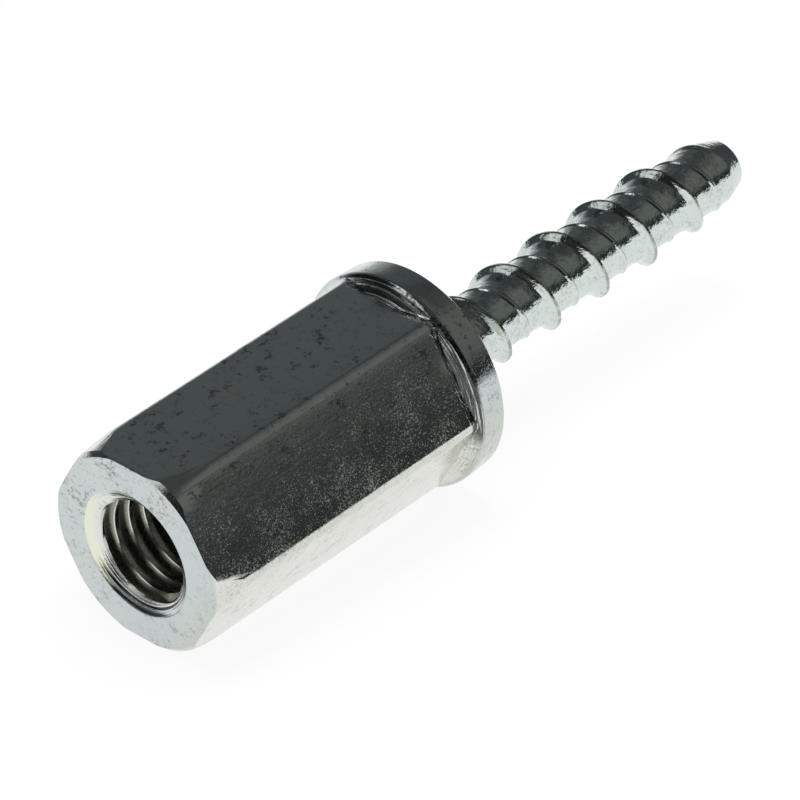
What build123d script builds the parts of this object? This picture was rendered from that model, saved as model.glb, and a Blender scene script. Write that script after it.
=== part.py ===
"""Internally threaded screw anchor: a hexagonal sleeve that takes a threaded rod, a round flange
under it, and a screw with a high and a low thread that cuts its own way into concrete.
It is formed in one piece. It lies at rest on one flat of the hexagon and the rim of the flange."""

from build123d import *

import os
from math import asin, atan2, cos, hypot, radians, sin, tan

# Driving dimensions in millimetres. Places along the axis are measured from the sleeve's open end.
hex_af = 13.0              # across flats
hex_corner_r = 0.9         # rounding of the six long edges
hex_length = 22.9          # open end to the flange's front, on a flat
end_face_r = 6.65          # flat ring at the open end
end_bevel = 0.3            # small 45 degree bevel round that ring
end_taper_deg = 9.5        # slender cone that draws the corners in at the open end

rod_bore_r = 3.4           # wall between the crests of the M8 rod thread
rod_bore_depth = 18.0      # open end to the end of that wall
drill_point_deg = 118.0    # included angle of the blind end
countersink_r = 4.43
countersink_deg = 120.0    # included angle

flange_r = 7.65
flange_back_r = 7.56       # the rim is drafted
flange_thickness = 2.8
flange_front_deg = 64.0    # the front face is a steep cone, this far from the axis
flange_root_r = 0.2        # small hollow between the flats and that face
flange_front_edge_r = 0.45
flange_back_bevel = 0.22   # small 45 degree bevel

screw_length = 30.3        # back of the flange to the tip
core_r = 2.25
high_crest_r = 2.93
high_crest_width = 0.22
high_root_width = 1.25
low_crest_r = 2.38
low_crest_width = 0.1
low_root_width = 0.9
lead = 4.8                 # advance of each thread in one turn
thread_lag = 0.43          # a high crest is on top of the screw this far before the flange's back
screw_root_r = 3.0         # 45 degree cone that roots the screw in the flange's back
crest_taper_length = 3.8   # last stretch of the threads, where their crests run down
tip_shoulder_r = 2.45
tip_taper_length = 2.15    # blunt nose after that
tip_r = 1.8
tip_bevel = 0.12

thread_sink = 0.25         # how far a thread's foot reaches into the core
spare = 0.5                # how far a cutting outline stands off what it leaves alone

# Sizes that follow from them.
flange_back = hex_length + flange_thickness
tip_end = flange_back + screw_length
corner_reach = (hex_af / 2 - hex_corner_r) / cos(radians(30)) + hex_corner_r
countersink_depth = (countersink_r - rod_bore_r) / tan(radians(countersink_deg / 2))
drill_point_depth = rod_bore_r / tan(radians(drill_point_deg / 2))

# The cone of the flange's front, with its rounded edge, runs out on the rim.
front_rise = flange_r - hex_af / 2
half_turn = tan(radians(flange_front_deg / 2))
rim_start = hex_length + front_rise / tan(radians(flange_front_deg)) + flange_front_edge_r * half_turn

# The axis rises towards the tip by the angle of the line that touches the flat's end and the rim.
edge_rise = front_rise - flange_front_edge_r
tilt = atan2(edge_rise, rim_start) + asin(flange_front_edge_r / hypot(edge_rise, rim_start))

# The origin is on the ground below the middle of the anchor's length. The axis frame has its Z along
# the screw, from the open end to the tip, and its X upwards, square to one flat.
open_end_x = -(tip_end * cos(tilt) - hex_af / 2 * sin(tilt)) / 2
axis_frame = Plane(
    origin=(open_end_x, 0, hex_af / 2 * cos(tilt)),
    x_dir=(-sin(tilt), 0, cos(tilt)),
    z_dir=(cos(tilt), 0, sin(tilt)),
)
anchor_axis = Axis(axis_frame.origin, axis_frame.z_dir)
# Sections through the axis are drawn as (distance along the axis, radius).
section = Plane(axis_frame.origin, x_dir=axis_frame.z_dir, z_dir=axis_frame.y_dir)

with BuildPart() as anchor:
    # Core of the screw, rooted in the flange.
    with BuildSketch(axis_frame.offset(hex_length)):
        Circle(core_r)
    extrude(amount=tip_end - hex_length)

    # Its high and low threads, half a turn apart. Each is a trapezoid with its foot in the core,
    # swept round the core from inside the sleeve to the tip.
    for crest_r, crest_width, root_width, start in (
        (high_crest_r, high_crest_width, high_root_width, flange_back - thread_lag - lead),
        (low_crest_r, low_crest_width, low_root_width, flange_back - thread_lag - lead / 2),
    ):
        flank = (root_width - crest_width) / 2 / (crest_r - core_r)
        half_foot = root_width / 2 + flank * thread_sink
        with BuildSketch(section):
            with BuildLine():
                Polyline(
                    (start - half_foot, core_r - thread_sink),
                    (start - crest_width / 2, crest_r),
                    (start + crest_width / 2, crest_r),
                    (start + half_foot, core_r - thread_sink),
                    close=True,
                )
            make_face()
        with BuildLine():
            Helix(
                pitch=lead,
                height=tip_end - start,
                radius=core_r,
                center=axis_frame.from_local_coords((0, 0, start)),
                direction=axis_frame.z_dir,
            )
        sweep(is_frenet=True)

    # The outline that the screw is formed to: full thread, tapered crests, blunt tip.
    full_r = high_crest_r + spare
    crest_slope = (high_crest_r - tip_shoulder_r) / crest_taper_length
    tip_shoulder = tip_end - tip_taper_length
    with BuildSketch(section):
        with BuildLine():
            Polyline(
                (hex_length - spare, 0),
                (hex_length - spare, full_r),
                (tip_shoulder - (full_r - tip_shoulder_r) / crest_slope, full_r),
                (tip_shoulder, tip_shoulder_r),
                (tip_end - tip_bevel, tip_r),
                (tip_end, tip_r - tip_bevel),
                (tip_end, 0),
                close=True,
            )
        make_face()
    revolve(axis=anchor_axis, mode=Mode.INTERSECT)

    # Conical root under the flange.
    with BuildSketch(section):
        with BuildLine():
            Polyline(
                (flange_back, 0),
                (flange_back, screw_root_r),
                (flange_back + screw_root_r - core_r, core_r),
                (flange_back + screw_root_r - core_r, 0),
                close=True,
            )
        make_face()
    revolve(axis=anchor_axis)

    # Round flange. Its front is a steep cone with a small hollow at its root and a rounded edge, and
    # its rim is drafted towards the bevel at the back.
    root_start = (hex_length - flange_root_r * half_turn, hex_af / 2)
    with BuildSketch(section):
        with BuildLine():
            root = JernArc(root_start, (1, 0), flange_root_r, flange_front_deg)
            edge = JernArc((rim_start, flange_r), (-1, 0), flange_front_edge_r, flange_front_deg)
            Line(root @ 1, edge @ 1)
            Polyline(
                (rim_start, flange_r),
                (flange_back - flange_back_bevel, flange_back_r),
                (flange_back, flange_back_r - flange_back_bevel),
                (flange_back, 0),
                (root_start[0], 0),
                root_start,
            )
        make_face()
    revolve(axis=anchor_axis)

    # Hexagonal sleeve.
    with BuildSketch(axis_frame) as hexagon:
        RegularPolygon(hex_af / 2, 6, major_radius=False, rotation=30)
        fillet(hexagon.vertices(), hex_corner_r)
    extrude(amount=hex_length)

    # Its open end: a small bevel, then a slender cone that only the corners reach.
    bevel_r = end_face_r + end_bevel
    outside_r = corner_reach + spare
    with BuildSketch(section):
        with BuildLine():
            Polyline(
                (-spare, end_face_r - spare),
                (end_bevel, bevel_r),
                (end_bevel + (outside_r - bevel_r) / tan(radians(end_taper_deg)), outside_r),
                (-spare, outside_r),
                close=True,
            )
        make_face()
    revolve(axis=anchor_axis, mode=Mode.SUBTRACT)

    # Blind bore for the threaded rod, with its countersunk mouth and drill point.
    with BuildSketch(section):
        with BuildLine():
            Polyline(
                (-spare, 0),
                (-spare, countersink_r + spare * tan(radians(countersink_deg / 2))),
                (countersink_depth, rod_bore_r),
                (rod_bore_depth, rod_bore_r),
                (rod_bore_depth + drill_point_depth, 0),
                close=True,
            )
        make_face()
    revolve(axis=anchor_axis, mode=Mode.SUBTRACT)

anchor.part.label = "screw_anchor"
os.makedirs("parts", exist_ok=True)
export_step(anchor.part, "parts/screw_anchor.step")
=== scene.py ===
"""Looks of the internally threaded screw anchor: one closed skin with its threads cut in full, bright
zinc plating, a pale floor and soft studio light. Lengths are in millimetres until they go into a mesh."""

from math import asin, atan2, cos, hypot, pi, radians, sin, sqrt, tan

import bmesh
import bpy
from mathutils import Matrix, Vector


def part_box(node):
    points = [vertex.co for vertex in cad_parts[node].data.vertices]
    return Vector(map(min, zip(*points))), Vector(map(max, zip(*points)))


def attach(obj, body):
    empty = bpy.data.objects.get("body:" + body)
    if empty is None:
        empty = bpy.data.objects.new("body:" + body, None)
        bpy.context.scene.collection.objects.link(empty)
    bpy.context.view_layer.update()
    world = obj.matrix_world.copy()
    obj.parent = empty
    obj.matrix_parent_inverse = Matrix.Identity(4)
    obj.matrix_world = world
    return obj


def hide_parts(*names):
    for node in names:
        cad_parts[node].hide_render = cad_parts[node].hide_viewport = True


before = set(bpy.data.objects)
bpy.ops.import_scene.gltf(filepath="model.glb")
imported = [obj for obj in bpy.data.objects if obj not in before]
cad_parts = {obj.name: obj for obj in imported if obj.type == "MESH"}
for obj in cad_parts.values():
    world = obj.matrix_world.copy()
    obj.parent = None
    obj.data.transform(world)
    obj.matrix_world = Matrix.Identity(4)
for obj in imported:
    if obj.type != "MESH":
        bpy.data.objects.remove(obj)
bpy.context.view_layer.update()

MM = 0.001

# Sizes of the anchor, the same as in its solid. Places along the axis start at the open end.
HEX_AF = 13.0
HEX_LENGTH = 22.9
END_FACE_R = 6.65
END_BEVEL = 0.3
END_TAPER_DEG = 9.5
ROD_BORE_R = 3.4
ROD_BORE_DEPTH = 18.0
DRILL_POINT_DEG = 118.0
COUNTERSINK_R = 4.43
COUNTERSINK_DEG = 120.0
FLANGE_R = 7.65
FLANGE_BACK_R = 7.56
FLANGE_THICKNESS = 2.8
FLANGE_FRONT_DEG = 64.0
FLANGE_ROOT_R = 0.2
FLANGE_FRONT_EDGE_R = 0.45
FLANGE_BACK_BEVEL = 0.22
SCREW_LENGTH = 30.3
CORE_R = 2.25
HIGH_CREST_R = 2.93
HIGH_CREST_WIDTH = 0.22
LOW_CREST_R = 2.38
LOW_CREST_WIDTH = 0.1
LEAD = 4.8
THREAD_LAG = 0.43
SCREW_ROOT_R = 3.0
CREST_TAPER_LENGTH = 3.8
TIP_SHOULDER_R = 2.45
TIP_TAPER_LENGTH = 2.15
TIP_R = 1.8
TIP_BEVEL = 0.12

# Forms too slight for the solid. Each screw thread is a steep ridge on a mound, which has a share of
# the thread's height and on the sleeve's side runs out further than the solid's plain flank.
HIGH_FLANK_WIDTH = 0.28
HIGH_MOUND_WIDTH = 1.15
HIGH_MOUND = 0.52
LOW_FLANK_WIDTH = 0.14
LOW_MOUND_WIDTH = 0.6
LOW_MOUND = 0.45
FAR_SHARE = 0.4            # of the mound's width, on the side towards the tip
MOUND_POWER = 1.3          # 1 is a straight slope, more is hollow
RIDGE_ROUNDING = 0.1       # share of its flank over which foot and crest are rounded, to each side
CROWN = 0.05               # the flats are this much lower beside the rounded edges
CORNER_R = 0.78            # rounding of the edges between them, which reach 0.04 less than the solid's
RISE_START = 22.25         # towards the flange the middle of each flat rises from here
RISE_TOP_R = 6.63          # and up to this radius
RUN_OUT_SHIFT = (-0.03, 0.12, -0.18, 0, 0, 0)  # how far the flange's front is off on each flat
SHIFT_FADE = 0.8           # the shift dies away over this height, up to the edge
PLAIN_RUN = 0.3            # the front begins this far before its hollow where a flat doesn't rise
NOSE_LENGTH = 1.35         # the screw's plain end, past both threads

# The rod thread, M8, which the solid leaves as a plain wall.
ROD_PITCH = 1.25
ROD_ROOT_R = 4.0
ROD_CREST_WIDTH = 0.4
ROD_FLANK_WIDTH = 0.345
ROD_START = 0.92           # a crest is at the top of the bore this far from the open end
ROD_RUN_OUT = 1.5          # plain wall left before the drill point
ROD_FADE = 0.6             # the grooves get shallower over this length

# Sizes that follow from them.
HALF_AF = HEX_AF / 2
FLANGE_BACK = HEX_LENGTH + FLANGE_THICKNESS
TIP_END = FLANGE_BACK + SCREW_LENGTH
HIGH_CREST_PLACE = FLANGE_BACK - THREAD_LAG
LOW_CREST_PLACE = FLANGE_BACK - THREAD_LAG + LEAD / 2
FRONT_RISE = FLANGE_R - HALF_AF
FRONT_TURN = radians(FLANGE_FRONT_DEG)
RIM_START = HEX_LENGTH + FRONT_RISE / tan(FRONT_TURN) + FLANGE_FRONT_EDGE_R * tan(FRONT_TURN / 2)
EDGE_RISE = FRONT_RISE - FLANGE_FRONT_EDGE_R
TILT = atan2(EDGE_RISE, RIM_START) + asin(FLANGE_FRONT_EDGE_R / hypot(EDGE_RISE, RIM_START))

# How finely the skin is divided.
CORNER_STEPS = 8
FLAT_STEPS = 16
RISE_STEPS = 3
ROOT_STEPS = 6
EDGE_STEPS = 8
RIM_STEPS = 4
NOSE_STEPS = 3
MOUTH_RING = 0.05              # the end face's first ring is this far from the countersink
BACK_RINGS = (6.2, 5.0, 4.0)   # radii on the flange's back
SHARP_TURN = radians(24)       # edges that turn at least this much look sharp
SAME_POINT = 1e-8              # metres; points of a column that are nearer than this are one
ROW_GAP = 0.004                # a thread's row that comes nearer than this to an end ring joins it

# The axis frame stands on the CAD solid's own box: its lowest x is the open end's top edge.
low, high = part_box("screw_anchor")
AXIS = Vector((cos(TILT), 0, sin(TILT)))
UP = Vector((-sin(TILT), 0, cos(TILT)))
SIDE = AXIS.cross(UP)
OPEN_END = Vector((
    low.x / MM + HALF_AF * sin(TILT),
    (low.y + high.y) / 2 / MM,
    low.z / MM + HALF_AF * cos(TILT),
))


def place(u, r, turn):
    """A point u along the axis and r from it, at an angle from the top, in metres."""
    return (OPEN_END + AXIS * u + (UP * cos(turn) + SIDE * sin(turn)) * r) * MM


# ---------------------------------------------------------------- camera
# Where it stands as seen from its target: azimuth from -Y towards +X and elevation, in degrees, and
# distance, in millimetres.
CAMERA_TARGET = Vector((-2.989, 0.789, 5.190))
CAMERA_AZIMUTH = -47.087
CAMERA_ELEVATION = 33.656
CAMERA_DISTANCE = 351.852
CAMERA_ROLL = -0.438
CAMERA_LENS = 246.697
CAMERA_SENSOR = 36


def add_camera():
    az, el = radians(CAMERA_AZIMUTH), radians(CAMERA_ELEVATION)
    back = Vector((sin(az) * cos(el), -cos(az) * cos(el), sin(el)))
    right = Vector((0, 0, 1)).cross(back).normalized()
    up = back.cross(right)
    roll = Matrix.Rotation(radians(CAMERA_ROLL), 3, back)
    right, up = roll @ right, roll @ up
    data = bpy.data.cameras.new("camera")
    data.lens = CAMERA_LENS
    data.sensor_width = CAMERA_SENSOR
    data.clip_start = 0.01
    data.clip_end = 20
    camera = bpy.data.objects.new("camera", data)
    turn = Matrix((right, up, back)).transposed().to_4x4()
    camera.matrix_world = Matrix.Translation((CAMERA_TARGET + back * CAMERA_DISTANCE) * MM) @ turn
    bpy.context.scene.collection.objects.link(camera)
    bpy.context.scene.camera = camera


# ---------------------------------------------------------------- the skin's columns
def hexagon_columns():
    """(angle from the top, radius of the hexagon) round the sleeve. The columns stand closer at the
    rounded edges, and where the end's bevel and cone begin to cut the flats."""
    half_flat = (HALF_AF - CORNER_R) * tan(radians(30))
    bevel_cut = sqrt(END_FACE_R ** 2 - HALF_AF ** 2)
    cone_cut = sqrt((END_FACE_R + END_BEVEL) ** 2 - HALF_AF ** 2)
    across = [bevel_cut * k / 4 for k in range(5)] + [(bevel_cut + cone_cut) / 2, cone_cut]
    across += [(cone_cut + half_flat) / 2, half_flat]
    flat = [-y for y in reversed(across[1:])] + across
    columns = []
    for side in range(6):
        middle = radians(60 * side)
        for y in flat:
            x = HALF_AF - CROWN * (y / half_flat) ** 2
            columns.append((middle + atan2(y, x), hypot(x, y)))
        for k in range(1, CORNER_STEPS):
            bend = radians(60 * k / CORNER_STEPS)
            x = HALF_AF - CROWN - CORNER_R + CORNER_R * cos(bend)
            y = half_flat - CROWN * tan(radians(30)) + CORNER_R * sin(bend)
            columns.append((middle + atan2(y, x), hypot(x, y)))
    return sorted((turn % (2 * pi), r) for turn, r in columns)


COLUMNS = hexagon_columns()


class Skin:
    """Points and faces of the closed skin, grown ring by ring."""

    def __init__(self):
        self.points = []
        self.faces = []

    def point(self, u, r, turn):
        self.points.append(place(u, r, turn))
        return len(self.points) - 1

    def ring(self, profile):
        """One ring: profile(turn, hexagon radius) gives (u, r)."""
        return [self.point(*profile(turn, reach), turn) for turn, reach in COLUMNS]

    def face(self, *corners):
        kept = [c for k, c in enumerate(corners) if c != corners[k - 1]]
        if len(set(kept)) > 2:
            self.faces.append(kept)

    def join(self, a, b):
        for k in range(len(a)):
            n = (k + 1) % len(a)
            self.face(a[k], a[n], b[n], b[k])

    def grow(self, last, profile):
        """A further ring joined to the last. A point that stays where it was isn't doubled."""
        ring = []
        for k, (turn, reach) in enumerate(COLUMNS):
            u, r = profile(turn, reach)
            here = place(u, r, turn)
            same = (here - self.points[last[k]]).length < SAME_POINT
            ring.append(last[k] if same else self.point(u, r, turn))
        self.join(last, ring)
        return ring

    def cap(self, ring, u):
        """Closes a ring with one point on the axis."""
        middle = self.point(u, 0, 0)
        for k in range(len(ring)):
            self.face(ring[k], ring[(k + 1) % len(ring)], middle)

    def spiral(self, first, last, begin, end, lead, steps, radius):
        """Rows that climb with a thread between two rings at u = begin and u = end. Steps are the
        places of the rows within one lead, at the top of the turn."""
        rows = []
        lap = int(begin // lead) - 2
        while lap * lead < end + lead:
            rows += [lap * lead + s for s in steps]
            lap += 1
        grid = []
        for k, (turn, _) in enumerate(COLUMNS):
            column = []
            for s in rows:
                u = s + lead * turn / (2 * pi)
                if u <= begin + ROW_GAP:
                    column.append(first[k])
                elif u >= end - ROW_GAP:
                    column.append(last[k])
                else:
                    column.append(self.point(u, radius(u, turn), turn))
            grid.append(column)
        for k in range(len(grid)):
            near, far = grid[k], grid[(k + 1) % len(grid)]
            shift = len(steps) if k + 1 == len(grid) else 0
            for j in range(len(rows) - 1 - shift):
                self.face(near[j], far[j + shift], far[j + shift + 1], near[j + 1])


# ---------------------------------------------------------------- threads
def soft_step(x, k):
    """0 below 0, x between, 1 above 1, with both bends rounded over k to each side."""
    def bend(t):
        return t if t > k else 0.0 if t < -k else (t + k) ** 2 / (4 * k)
    return 1 - bend(1 - bend(x))


def ridge(offset, crest_width, flank_width, mound_width=1.0, mound=0.0):
    """Height of a thread from 0 at its root to 1 at its crest, at an offset from its middle: a steep
    ridge on a mound, which has a share of the height and is broad towards the sleeve only."""
    out = abs(offset) - crest_width / 2
    reach = mound_width if offset < 0 else max(flank_width, FAR_SHARE * mound_width)
    slope = max(0.0, 1 - max(out, 0) / reach) ** MOUND_POWER
    return mound * slope + (1 - mound) * soft_step(1 - out / flank_width, RIDGE_ROUNDING)


def from_crest(u, turn, crest, lead):
    """How far u is from the nearest crest of a thread."""
    return (u - crest - lead * turn / (2 * pi) + lead / 2) % lead - lead / 2


def screw_outline(u):
    """The outline that the screw is formed to near its tip."""
    shoulder = TIP_END - TIP_TAPER_LENGTH
    if u < shoulder:
        return TIP_SHOULDER_R + (HIGH_CREST_R - TIP_SHOULDER_R) * (shoulder - u) / CREST_TAPER_LENGTH
    return TIP_SHOULDER_R - (TIP_SHOULDER_R - TIP_R) * (u - shoulder) / (TIP_TAPER_LENGTH - TIP_BEVEL)


def screw_radius(u, turn):
    to_high = from_crest(u, turn, HIGH_CREST_PLACE, LEAD)
    to_low = from_crest(u, turn, LOW_CREST_PLACE, LEAD)
    high = ridge(to_high, HIGH_CREST_WIDTH, HIGH_FLANK_WIDTH, HIGH_MOUND_WIDTH, HIGH_MOUND)
    low = ridge(to_low, LOW_CREST_WIDTH, LOW_FLANK_WIDTH, LOW_MOUND_WIDTH, LOW_MOUND)
    outline = screw_outline(u)
    peak = max(CORE_R, min(HIGH_CREST_R, outline))
    r = CORE_R + max(high * (peak - CORE_R), low * (LOW_CREST_R - CORE_R))
    r = max(r, SCREW_ROOT_R - (u - FLANGE_BACK))
    return min(r, outline)


def screw_rows():
    """Rows within one lead, on the feet, flanks and crests of both threads."""
    rows = []
    for crest, crest_width, flank_width, mound_width in (
        (HIGH_CREST_PLACE, HIGH_CREST_WIDTH, HIGH_FLANK_WIDTH, HIGH_MOUND_WIDTH),
        (LOW_CREST_PLACE, LOW_CREST_WIDTH, LOW_FLANK_WIDTH, LOW_MOUND_WIDTH),
    ):
        rows.append(crest)
        outs = [share * flank_width for share in (-0.1, 0.1, 0.5, 0.9, 1.1)]
        for share in (0.15, 0.35, 0.55, 0.75, 0.9, 1.02):
            outs.append(flank_width + share * (mound_width - flank_width))
        rows += [crest - crest_width / 2 - out for out in outs]
        rows += [crest + crest_width / 2 + max(out * FAR_SHARE, min(out, flank_width)) for out in outs]
    return sorted({round(s % LEAD, 5) for s in rows})


def bore_radius(u, turn):
    cut = 1 - ridge(from_crest(u, turn, ROD_START, ROD_PITCH), ROD_CREST_WIDTH, ROD_FLANK_WIDTH)
    fade = min(1, max(0, (ROD_BORE_DEPTH - ROD_RUN_OUT - u) / ROD_FADE))
    thread = ROD_BORE_R + (ROD_ROOT_R - ROD_BORE_R) * cut * fade
    return max(thread, COUNTERSINK_R - u * tan(radians(COUNTERSINK_DEG / 2)))


def bore_rows():
    """Rows within one pitch, on the crests and flanks of the rod thread."""
    rows = [ROD_START]
    for share in (-0.08, 0.1, 0.5, 0.9, 1.08):
        out = ROD_CREST_WIDTH / 2 + share * ROD_FLANK_WIDTH
        rows += [ROD_START + out, ROD_START - out]
    return sorted({round(s % ROD_PITCH, 5) for s in rows})


# ---------------------------------------------------------------- outside of the sleeve and flange
def cone_cut(reach):
    """Where the end's bevel and cone leave the hexagon, on a column of that reach: (u, r) twice."""
    bevel_r = END_FACE_R + END_BEVEL
    if reach <= END_FACE_R:
        return (0, reach), (0, reach)
    if reach <= bevel_r:
        return (reach - END_FACE_R, reach), (reach - END_FACE_R, reach)
    return (END_BEVEL, bevel_r), (END_BEVEL + (reach - bevel_r) / tan(radians(END_TAPER_DEG)), reach)


def flange_front(turn, reach):
    """(u, r) along the flange's front on a column, from the end of its flat: the slight rise in the
    middle of the flat, the small hollow, the steep face and the rounded edge."""
    rises = reach < RISE_TOP_R
    foot_r = max(reach, RISE_TOP_R)
    meet = HEX_LENGTH + (foot_r - HALF_AF) / tan(FRONT_TURN)
    slope = atan2(foot_r - reach, meet - RISE_START) if rises else 0
    run_in = FLANGE_ROOT_R * tan((FRONT_TURN - slope) / 2)
    start_u, start_r = meet - run_in * cos(slope), foot_r - run_in * sin(slope)
    begin = RISE_START if rises else start_u - PLAIN_RUN
    rows = []
    for k in range(RISE_STEPS + 1):
        u = begin + (start_u - begin) * k / RISE_STEPS
        rows.append((u, reach + (start_r - reach) * k / RISE_STEPS))
    middle_u, middle_r = start_u - FLANGE_ROOT_R * sin(slope), start_r + FLANGE_ROOT_R * cos(slope)
    for k in range(1, ROOT_STEPS + 1):
        bend = slope + (FRONT_TURN - slope) * k / ROOT_STEPS
        rows.append((middle_u + FLANGE_ROOT_R * sin(bend), middle_r - FLANGE_ROOT_R * cos(bend)))
    for k in range(EDGE_STEPS + 1):
        bend = FRONT_TURN * (1 - k / EDGE_STEPS)
        r = FLANGE_R - FLANGE_FRONT_EDGE_R * (1 - cos(bend))
        rows.append((RIM_START - FLANGE_FRONT_EDGE_R * sin(bend), r))
    side = round(turn / radians(60))
    shift = RUN_OUT_SHIFT[side % 6] * cos(3 * (turn - side * radians(60)))
    edge_r = FLANGE_R - FLANGE_FRONT_EDGE_R
    return [(u + shift * max(0, (edge_r - r) / SHIFT_FADE), r) for u, r in rows]


# ---------------------------------------------------------------- the skin
def grow_bore(skin):
    """Drill point, wall with the rod thread, and countersunk mouth. Gives the mouth's ring."""
    bottom = skin.ring(lambda turn, reach: (ROD_BORE_DEPTH, ROD_BORE_R))
    skin.cap(bottom, ROD_BORE_DEPTH + ROD_BORE_R / tan(radians(DRILL_POINT_DEG / 2)))
    mouth = skin.ring(lambda turn, reach: (0, COUNTERSINK_R))
    skin.spiral(mouth, bottom, 0, ROD_BORE_DEPTH, ROD_PITCH, bore_rows(), bore_radius)
    return mouth


def grow_sleeve(skin, ring):
    """End face, its bevel and the cone over the corners, flats and rounded edges, flange's front."""
    ring = skin.grow(ring, lambda turn, reach: (0, COUNTERSINK_R + MOUTH_RING))
    ring = skin.grow(ring, lambda turn, reach: (0, (COUNTERSINK_R + HALF_AF) / 2))
    ring = skin.grow(ring, lambda turn, reach: (0, min(reach, END_FACE_R)))
    ring = skin.grow(ring, lambda turn, reach: cone_cut(reach)[0])
    ring = skin.grow(ring, lambda turn, reach: cone_cut(reach)[1])

    fronts = {turn: flange_front(turn, reach) for turn, reach in COLUMNS}
    for k in range(1, FLAT_STEPS + 1):
        def flats(turn, reach):
            start = cone_cut(reach)[1][0]
            return start + (fronts[turn][0][0] - start) * (k / FLAT_STEPS), reach
        ring = skin.grow(ring, flats)
    for k in range(1, len(fronts[COLUMNS[0][0]])):
        ring = skin.grow(ring, lambda turn, reach: fronts[turn][k])
    return ring


def grow_flange(skin, ring):
    """Drafted rim, bevel and back."""
    rim_end = FLANGE_BACK - FLANGE_BACK_BEVEL
    for k in range(1, RIM_STEPS + 1):
        u = RIM_START + (rim_end - RIM_START) * k / RIM_STEPS
        r = FLANGE_R + (FLANGE_BACK_R - FLANGE_R) * k / RIM_STEPS
        ring = skin.grow(ring, lambda turn, reach: (u, r))
    for r in (FLANGE_BACK_R - FLANGE_BACK_BEVEL, *BACK_RINGS, SCREW_ROOT_R):
        ring = skin.grow(ring, lambda turn, reach: (FLANGE_BACK, r))
    return ring


def grow_screw(skin, ring):
    """Both threads on their core, and the blunt tip."""
    nose = TIP_END - NOSE_LENGTH
    last = skin.ring(lambda turn, reach: (nose, screw_outline(nose)))
    skin.spiral(ring, last, FLANGE_BACK, nose, LEAD, screw_rows(), screw_radius)
    for k in range(1, NOSE_STEPS + 1):
        u = nose + (TIP_END - TIP_BEVEL - nose) * k / NOSE_STEPS
        last = skin.grow(last, lambda turn, reach: (u, screw_outline(u)))
    last = skin.grow(last, lambda turn, reach: (TIP_END, TIP_R - TIP_BEVEL))
    last = skin.grow(last, lambda turn, reach: (TIP_END, TIP_R / 2))
    skin.cap(last, TIP_END)


def add_anchor():
    skin = Skin()
    ring = grow_bore(skin)
    ring = grow_sleeve(skin, ring)
    ring = grow_flange(skin, ring)
    grow_screw(skin, ring)

    mesh = bpy.data.meshes.new("anchor_bolt")
    mesh.from_pydata(skin.points, [], skin.faces)
    build = bmesh.new()
    build.from_mesh(mesh)
    bmesh.ops.recalc_face_normals(build, faces=build.faces)
    for face in build.faces:
        face.smooth = True
    for edge in build.edges:
        if not edge.is_manifold:
            raise RuntimeError("the skin isn't closed")
        edge.smooth = edge.calc_face_angle(0) < SHARP_TURN
    build.to_mesh(mesh)
    build.free()
    anchor = bpy.data.objects.new("anchor_bolt", mesh)
    bpy.context.scene.collection.objects.link(anchor)
    return anchor


# ---------------------------------------------------------------- nodes
class Nodes:
    """A node tree and short ways to add to it. What goes into a node is a socket or plain numbers."""

    def __init__(self, tree):
        self.tree = tree

    def new(self, kind):
        return self.tree.nodes.new("ShaderNode" + kind)

    def put(self, value, target):
        """Links a socket to an input, or sets plain numbers on it."""
        if isinstance(value, bpy.types.NodeSocket):
            self.tree.links.new(value, target)
        elif target.type == "RGBA":
            target.default_value = (*value, 1)
        else:
            target.default_value = value

    def maths(self, operation, *values):
        made = self.new("Math")
        made.operation = operation
        for slot, value in enumerate(values):
            self.put(value, made.inputs[slot])
        return made.outputs[0]

    def vector(self, operation, *values):
        """A Vector Math node. Its output is a number where the operation gives one."""
        made = self.new("VectorMath")
        made.operation = operation
        for slot, value in enumerate(values):
            self.put(value, made.inputs[slot])
        return made.outputs["Value" if operation in ("DOT_PRODUCT", "LENGTH") else "Vector"]

    def joined(self, *parts):
        """A vector of three numbers."""
        made = self.new("CombineXYZ")
        for slot, part in enumerate(parts):
            self.put(part, made.inputs[slot])
        return made.outputs[0]

    def product(self, *factors):
        made = factors[0]
        for factor in factors[1:]:
            made = self.maths("MULTIPLY", made, factor)
        return made

    def ramp(self, value, start, end, low=0.0, high=1.0):
        """value from start to end becomes low to high, smoothly and no further."""
        made = self.new("MapRange")
        made.interpolation_type = "SMOOTHSTEP"
        self.put(value, made.inputs["Value"])
        for name, number in (("From Min", start), ("From Max", end), ("To Min", low), ("To Max", high)):
            self.put(number, made.inputs[name])
        return made.outputs[0]

    def between(self, value, start, full, end_full, end):
        """1 between full and end_full, 0 outside start and end."""
        return self.product(self.ramp(value, start, full), self.ramp(value, end, end_full))

    def blend(self, factor, first, second, kind="MIX"):
        """A mix of two colours."""
        made = self.new("Mix")
        made.data_type = "RGBA"
        made.blend_type = kind
        for slot, value in ((0, factor), (6, first), (7, second)):
            self.put(value, made.inputs[slot])
        return made.outputs[2]

    def noise_of(self, vector, scale, detail=2.0, roughness=0.5):
        """Noise with about scale cells to a unit of the vector."""
        made = self.new("TexNoise")
        self.put(vector, made.inputs["Vector"])
        self.put(scale, made.inputs["Scale"])
        self.put(detail, made.inputs["Detail"])
        self.put(roughness, made.inputs["Roughness"])
        return made.outputs["Fac"]

    def bump(self, height, depth, normal=None):
        """A bump of depth millimetres, on top of another normal."""
        made = self.new("Bump")
        self.put(1, made.inputs["Strength"])
        self.put(depth * MM, made.inputs["Distance"])
        self.put(height, made.inputs["Height"])
        if normal is not None:
            self.put(normal, made.inputs["Normal"])
        return made.outputs[0]


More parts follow.
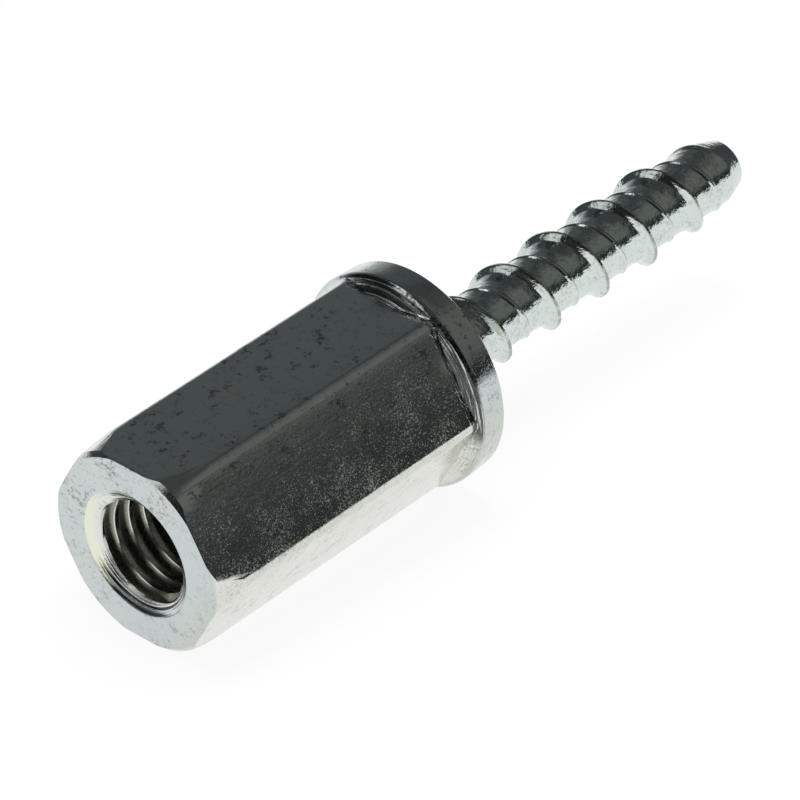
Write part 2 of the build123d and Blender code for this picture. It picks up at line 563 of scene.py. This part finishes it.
# ---------------------------------------------------------------- zinc plating
ZINC = (0.71, 0.735, 0.705)
COOL_ZINC = (0.70, 0.72, 0.72)
WARM_ZINC = (0.72, 0.74, 0.68)
LOW_ZINC = (0.70, 0.71, 0.645)         # on the flat that faces down and towards -Y
IVORY_ZINC = (0.78, 0.79, 0.66)
END_AND_RIM_TINT = (0.80, 0.84, 0.86)       # on the end face and the rim; tints multiply the colour
SCREW_TINT = (0.90, 0.96, 0.96)
STAIN = (0.20, 0.21, 0.21)
END_GRIT = (0.28, 0.29, 0.29)
SCREW_GRIT = (0.44, 0.46, 0.45)
DARK_CREST = (0.34, 0.35, 0.31)
# the bore's grooves: thinly plated, with painted shade in the recess
BARE_AND_SHADED_GROOVE = (0.30, 0.31, 0.24)
# painted shade in the mouth and on the flange's front, broken by scored marks
SHADE_AND_SCORES = (0.05, 0.055, 0.055)

SMOOTH, MATT = 0.06, 0.15              # range of the roughness of clean zinc
GROOVE_ROUGHNESS = 0.18                # these two add to it
GRIT_ROUGHNESS = 0.4

GRAIN_DEPTH = 0.009                    # depths of the bumps, in millimetres
DRAWN_DEPTH = 0.003
DRAWN_STRETCH = 14                     # length of a drawn line over its width
WAVE_DEPTH = 0.012
TOOL_DEPTH = 0.05
TOOL_DRIFT = 0.04                      # how much a tool's marks change round the axis
BEATEN_DEPTH = 0.04


class Plating(Nodes):
    """Nodes for the anchor's surface. They know where a point lies in the anchor's own axes, in
    millimetres: along the axis, up and sideways, and how far from the axis."""

    def __init__(self, tree):
        super().__init__(tree)
        here = self.new("TexCoord").outputs["Object"]
        parts = []
        for direction in (AXIS, UP, SIDE):
            reach = self.vector("DOT_PRODUCT", here, direction / MM)
            parts.append(self.maths("SUBTRACT", reach, OPEN_END.dot(direction)))
        self.along, self.up = parts[:2]
        self.point = self.joined(*parts)
        self.distance = self.vector("LENGTH", self.vector("MULTIPLY", self.point, (0, 1, 1)))
        self.on_end = self.ramp(self.along, 0.3, 0.05)
        self.at_mouth = self.ramp(self.along, 0.6, 0.4)
        self.on_screw = self.ramp(self.along, FLANGE_BACK - 0.1, FLANGE_BACK + 0.3)
        self.in_groove = self.product(
            self.ramp(self.distance, ROD_ROOT_R + 0.25, ROD_ROOT_R),
            self.ramp(self.distance, ROD_BORE_R + 0.01, ROD_BORE_R + 0.08),
            self.ramp(self.along, 0.5, 0.7),
            self.ramp(self.along, HEX_LENGTH, HEX_LENGTH - 1),
        )
        self.mouth_marks = self.turned(5)

    def noise(self, scale, detail=2.0, roughness=0.5):
        """Noise with about scale cells in a millimetre."""
        return self.noise_of(self.point, scale, detail, roughness)

    def turned(self, scale):
        """Noise that stays the same round the axis, but for slow changes, as a tool leaves it."""
        vector = self.joined(self.along, self.distance, self.product(self.up, TOOL_DRIFT))
        return self.noise_of(vector, scale, 3, 0.6)

    def towards(self, degrees):
        """How far a point lies from the axis in the direction of a turn from the top."""
        turn = radians(degrees)
        return self.vector("DOT_PRODUCT", self.point, (0, cos(turn), sin(turn)))

    def specks(self, scale, start, full):
        """Where fine specks lie, here more and there less."""
        share = self.ramp(self.noise(0.35), 0.3, 0.7, -0.05, 0.05)
        return self.ramp(self.maths("ADD", self.noise(scale, 3, 0.65), share), start, full)

    def passivation(self):
        """The plating's colour, cool and warm in patches, and warm on the flat low towards -Y."""
        cool = self.ramp(self.noise(0.16), 0.4, 0.6)
        warm = self.ramp(self.noise(0.23, 3), 0.5, 0.68, 0, 0.7)
        below = self.ramp(self.towards(125), 4.5, 6.3)
        colour = self.blend(cool, ZINC, COOL_ZINC)
        colour = self.blend(warm, colour, WARM_ZINC)
        return self.blend(below, colour, LOW_ZINC)

    def stains(self):
        """Where thin dark stains lie, most of them on top: fine broken lines, marks that gather in
        patches, and single spots."""
        off = self.maths("ABSOLUTE", self.maths("SUBTRACT", self.noise(1.0, 4, 0.65), 0.5))
        lines = self.product(self.ramp(off, 0.014, 0.003), self.ramp(self.noise(1.6, 3), 0.5, 0.58), 0.8)
        patches = self.ramp(self.noise(0.4, 3), 0.48, 0.56)
        marks = self.product(self.ramp(self.noise(1.5, 6, 0.75), 0.55, 0.59), patches)
        spots = self.product(self.ramp(self.noise(3.2, 3, 0.6), 0.66, 0.71), 0.7)
        stains = self.maths("MAXIMUM", self.maths("MAXIMUM", marks, lines), spots)
        return self.product(stains, self.ramp(self.towards(0), 3, 6, 0.42, 0.8))

    def end_grit(self):
        """Grey specks on the end face, most of them high up and towards +Y."""
        more = self.ramp(self.towards(-50), -3, 7, 0.12, 0.8)
        patches = self.ramp(self.noise(0.55, 3), 0.42, 0.56, 0.15, 1.0)
        return self.product(self.specks(3.4, 0.54, 0.62), more, patches, self.on_end)

    def screw_grit(self):
        """Grey specks on the screw."""
        patches = self.ramp(self.noise(0.9, 3), 0.42, 0.56, 0.15, 0.65)
        return self.product(self.on_screw, self.specks(4.5, 0.5, 0.62), patches)

    def dark_crest(self):
        """Darker along the crest of the high thread, in patches."""
        crest = self.ramp(self.distance, HIGH_CREST_R - 0.08, HIGH_CREST_R - 0.02)
        return self.product(self.on_screw, crest, self.ramp(self.noise(2.0, 3), 0.35, 0.6, 0.35, 1.0))

    def ivory(self):
        """The side of the countersink towards +Y."""
        inner, outer = ROD_ROOT_R - 0.4, COUNTERSINK_R
        ring = self.between(self.distance, inner, inner + 0.4, outer - 0.1, outer)
        return self.product(ring, self.ramp(self.towards(-100), 1.5, 3.5), self.at_mouth)

    def mouth_scores_and_shade(self):
        """Painted shade on the low side of the countersink: a dark ring, broken by the scored, turned
        marks.
        """
        inner, outer = ROD_ROOT_R - 0.35, COUNTERSINK_R + 0.1
        ring = self.between(self.distance, inner, inner + 0.25, outer - 0.1, outer)
        scored = self.ramp(self.mouth_marks, 0.56, 0.50)
        low_side = self.ramp(self.towards(172), 1.4, 3.0)
        return self.product(ring, self.at_mouth, scored, low_side)

    def front_scores_and_shade(self):
        """Painted shade on the flange's front, over the top flat and the next one towards -Y, broken by
        the scored, turned marks. A patch at the end of the edge between them is left bright."""
        front = self.between(self.along, HEX_LENGTH - 0.15, HEX_LENGTH, RIM_START - 0.25, RIM_START - 0.05)
        scored = self.ramp(self.turned(7), 0.60, 0.54)
        over_flats = self.ramp(self.towards(36), 2.6, 4.0)
        near_edge = self.ramp(self.towards(22), 6.95, 7.2)
        bright = self.product(near_edge, self.ramp(self.noise(3.0, 3), 0.40, 0.5))
        return self.product(front, scored, over_flats, self.maths("SUBTRACT", 1.0, bright), 0.9)

    def colour(self):
        # darker and cooler on the end face and the rim
        end_and_rim = self.maths("MAXIMUM", self.on_end, self.ramp(self.distance, 7.2, 7.5))
        colour = self.blend(self.stains(), self.passivation(), STAIN)
        colour = self.blend(self.end_grit(), colour, END_GRIT)
        colour = self.blend(end_and_rim, colour, END_AND_RIM_TINT, "MULTIPLY")
        colour = self.blend(self.on_screw, colour, SCREW_TINT, "MULTIPLY")
        colour = self.blend(self.screw_grit(), colour, SCREW_GRIT)
        colour = self.blend(self.dark_crest(), colour, DARK_CREST)
        colour = self.blend(self.ivory(), colour, IVORY_ZINC)
        # dark grooves in the bore: thin plating and painted shade
        colour = self.blend(self.in_groove, colour, BARE_AND_SHADED_GROOVE)
        # painted shade in the mouth and on the flange's front
        colour = self.blend(self.mouth_scores_and_shade(), colour, SHADE_AND_SCORES)
        return self.blend(self.front_scores_and_shade(), colour, SHADE_AND_SCORES)

    def roughness(self):
        """Clean zinc, duller in the bore's grooves, with matt grit on the side towards -Y."""
        patches = self.ramp(self.noise(2.6, 3, 0.65), 0.3, 0.6, 0.45, 1.0)
        sideways = self.ramp(self.towards(80), 3.2, 6.4)
        before_screw = self.ramp(self.along, FLANGE_BACK + 0.1, FLANGE_BACK - 0.1)
        grit = self.product(self.specks(8, 0.48, 0.70), patches, sideways, before_screw)
        clean = self.ramp(self.noise(0.8, 4), 0.3, 0.75, SMOOTH, MATT)
        duller = self.maths("ADD", clean, self.product(self.in_groove, GROOVE_ROUGHNESS))
        return self.maths("ADD", duller, self.product(grit, GRIT_ROUGHNESS))

    def normal(self):
        """Fine grain, lines drawn along the axis, slow waves, turned marks in the mouth and on the
        flange's front, and a beaten screw."""
        lengthwise = self.vector("MULTIPLY", self.point, (1 / DRAWN_STRETCH, 1, 1))
        in_mouth = self.ramp(self.distance, COUNTERSINK_R + 0.1, COUNTERSINK_R)
        mouth = self.product(self.mouth_marks, in_mouth, self.ramp(self.along, 1.2, 0.7))
        foot, top = HEX_LENGTH - 0.3, RIM_START - 0.1
        on_front = self.between(self.along, foot, foot + 0.2, top - 0.2, top)
        front = self.product(self.ramp(self.turned(6), 0.54, 0.62), on_front, 0.5)
        normal = self.bump(self.noise(5, 4, 0.7), GRAIN_DEPTH)
        normal = self.bump(self.noise_of(lengthwise, 5), DRAWN_DEPTH, normal)
        normal = self.bump(self.noise(0.7), WAVE_DEPTH, normal)
        normal = self.bump(self.maths("ADD", mouth, front), TOOL_DEPTH, normal)
        return self.bump(self.product(self.noise(2.4), self.on_screw), BEATEN_DEPTH, normal)


def zinc():
    """Bright zinc plate: passivation tints, stains, matt specks, fine grain, marks of the tools, dark
    grooves in the bore, where the plating is thin and shade is painted, and painted shade in the mouth and
    on the flange's front."""
    material = bpy.data.materials.new("zinc_plate")
    material.use_nodes = True
    shader = material.node_tree.nodes["Principled BSDF"]
    shader.inputs["Metallic"].default_value = 1
    nodes = Plating(material.node_tree)
    nodes.put(nodes.colour(), shader.inputs["Base Color"])
    nodes.put(nodes.roughness(), shader.inputs["Roughness"])
    nodes.put(nodes.normal(), shader.inputs["Normal"])
    return material


# ---------------------------------------------------------------- floor
FLOOR_HALF = 1.5                       # metres
FLOOR_COLOUR = (0.85, 0.85, 0.85)
FLOOR_LIGHT = 1.02
OWN_LIGHT_SHARE = 0.88                 # of what is seen of the floor


def floor_material():
    """A white sweep. To the camera, mirrors and glass most of its white is light of its own, so that
    the shadow stays faint. To whatever gathers diffuse light it is plain white paper."""
    material = bpy.data.materials.new("pale_floor")
    material.use_nodes = True
    nodes = Nodes(material.node_tree)
    nodes.tree.nodes.remove(nodes.tree.nodes["Principled BSDF"])
    paper = nodes.new("BsdfDiffuse")
    nodes.put(FLOOR_COLOUR, paper.inputs["Color"])
    own = nodes.new("Emission")
    nodes.put(FLOOR_LIGHT, own.inputs["Strength"])
    ray = nodes.new("LightPath")
    seen = nodes.maths("MAXIMUM", ray.outputs["Is Camera Ray"], ray.outputs["Is Glossy Ray"])
    seen = nodes.maths("MAXIMUM", seen, ray.outputs["Is Transmission Ray"])
    mixed = nodes.new("MixShader")
    nodes.put(nodes.product(seen, OWN_LIGHT_SHARE), mixed.inputs["Fac"])
    nodes.put(paper.outputs[0], mixed.inputs[1])
    nodes.put(own.outputs[0], mixed.inputs[2])
    nodes.put(mixed.outputs[0], nodes.tree.nodes["Material Output"].inputs["Surface"])
    return material


def add_floor():
    corners = [(FLOOR_HALF * x, FLOOR_HALF * y, 0) for x, y in ((-1, -1), (1, -1), (1, 1), (-1, 1))]
    mesh = bpy.data.meshes.new("floor")
    mesh.from_pydata(corners, [], [(0, 1, 2, 3)])
    floor = bpy.data.objects.new("floor", mesh)
    bpy.context.scene.collection.objects.link(floor)
    floor.data.materials.append(floor_material())


# ---------------------------------------------------------------- studio
# What the metal mirrors. Each panel or gap has the azimuth from +X and the elevation of its middle, its
# width and height and how softly it ends, in degrees, and its light. A later one covers an earlier one.
STUDIO = (
    (45, 34, 34, 20, 8, (0.084, 0.094, 0.099)),     # back wall
    (70, 51, 22, 12, 4, (0.018, 0.020, 0.020)),     # dark gap over it
    (-50, 40, 70, 44, 14, (0.142, 0.150, 0.140)),   # right wall
    (-8, 57, 50, 6, 5, (0.130, 0.135, 0.128)),      # strip under the ceiling
    (-140, 27, 96, 50, 10, (0.022, 0.023, 0.023)),  # dark room behind the camera
    (-92, 7, 110, 15, 5, (0.028, 0.032, 0.031)),    # low dark gap
    (158, 39, 30, 40, 7, (0.85, 0.85, 0.82)),       # window
    (118, 63, 46, 14, 6, (1.3, 1.3, 1.28)),         # roof light
    (158, 14, 24, 8, 4, (0.14, 0.145, 0.145)),      # sill
)
WALLS = (0.057, 0.062, 0.063)          # everywhere else
GLOW = (0.52, 0.53, 0.53)              # a pale stretch low at the back
GLOW_AZIMUTH = 62
GLOW_WIDTH, GLOW_CORE = 80, 36         # it fades from the core to this width
GLOW_TOP, GLOW_FULL = 27, -3           # it is nothing above one elevation and full below the other
SWEEP = (0.7, 0.7, 0.7)                # the white sweep below everything
SWEEP_TOP, SWEEP_FULL = 2, -5
DIFFUSE_LIGHT = (0.8, 0.8, 0.8)        # lights what isn't metal, such as the floor
BACKGROUND = (1.0, 1.0, 1.0)           # is all that the camera sees of the studio

LAMP_DIAMETER = 0.25                   # metres
LAMP_PLACE = (0.02, 0.02, 0.6)
LAMP_POWER = 1.2                       # watts


def level_direction(azimuth):
    return cos(radians(azimuth)), sin(radians(azimuth)), 0


def studio_light(nodes):
    """The colour of the studio in every direction."""
    looking = nodes.new("TexCoord").outputs["Generated"]
    level = nodes.vector("NORMALIZE", nodes.vector("MULTIPLY", looking, (1, 1, 0)))
    height = nodes.vector("DOT_PRODUCT", looking, (0, 0, 1))
    elevation = nodes.maths("MULTIPLY", nodes.maths("ARCSINE", height), 180 / pi)

    light = WALLS
    for azimuth, middle, width, tall, fade, colour in STUDIO:
        facing = nodes.vector("DOT_PRODUCT", level, level_direction(azimuth))
        across = nodes.ramp(facing, cos(radians(width / 2 + fade)), cos(radians(width / 2 - fade)))
        off = nodes.maths("ABSOLUTE", nodes.maths("SUBTRACT", elevation, middle))
        within = nodes.ramp(off, tall / 2 + fade / 2, max(0.0, tall / 2 - fade / 2))
        light = nodes.blend(nodes.product(across, within), light, colour)

    facing = nodes.vector("DOT_PRODUCT", level, level_direction(GLOW_AZIMUTH))
    across = nodes.ramp(facing, cos(radians(GLOW_WIDTH / 2)), cos(radians(GLOW_CORE / 2)))
    glow = nodes.product(across, nodes.ramp(elevation, GLOW_TOP, GLOW_FULL))
    light = nodes.blend(glow, light, GLOW)
    return nodes.blend(nodes.ramp(elevation, SWEEP_TOP, SWEEP_FULL), light, SWEEP)


def add_world():
    world = bpy.data.worlds.new("studio")
    bpy.context.scene.world = world
    world.use_nodes = True
    nodes = Nodes(world.node_tree)
    ray = nodes.new("LightPath")
    light = nodes.blend(ray.outputs["Is Diffuse Ray"], studio_light(nodes), DIFFUSE_LIGHT)
    light = nodes.blend(ray.outputs["Is Camera Ray"], light, BACKGROUND)
    background = nodes.tree.nodes["Background"]
    nodes.put(light, background.inputs["Color"])
    nodes.put(1, background.inputs["Strength"])


def add_lamp():
    """A soft overhead lamp, which gives the floor its shadow."""
    data = bpy.data.lights.new("overhead", "AREA")
    data.shape = "DISK"
    data.size = LAMP_DIAMETER
    data.energy = LAMP_POWER
    lamp = bpy.data.objects.new("overhead", data)
    lamp.location = LAMP_PLACE
    lamp.visible_glossy = False
    bpy.context.scene.collection.objects.link(lamp)


add_camera()
anchor = add_anchor()
anchor.data.materials.append(zinc())
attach(anchor, "root")
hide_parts("screw_anchor")
add_floor()
add_world()
add_lamp()
bpy.context.scene.view_settings.view_transform = "Standard"
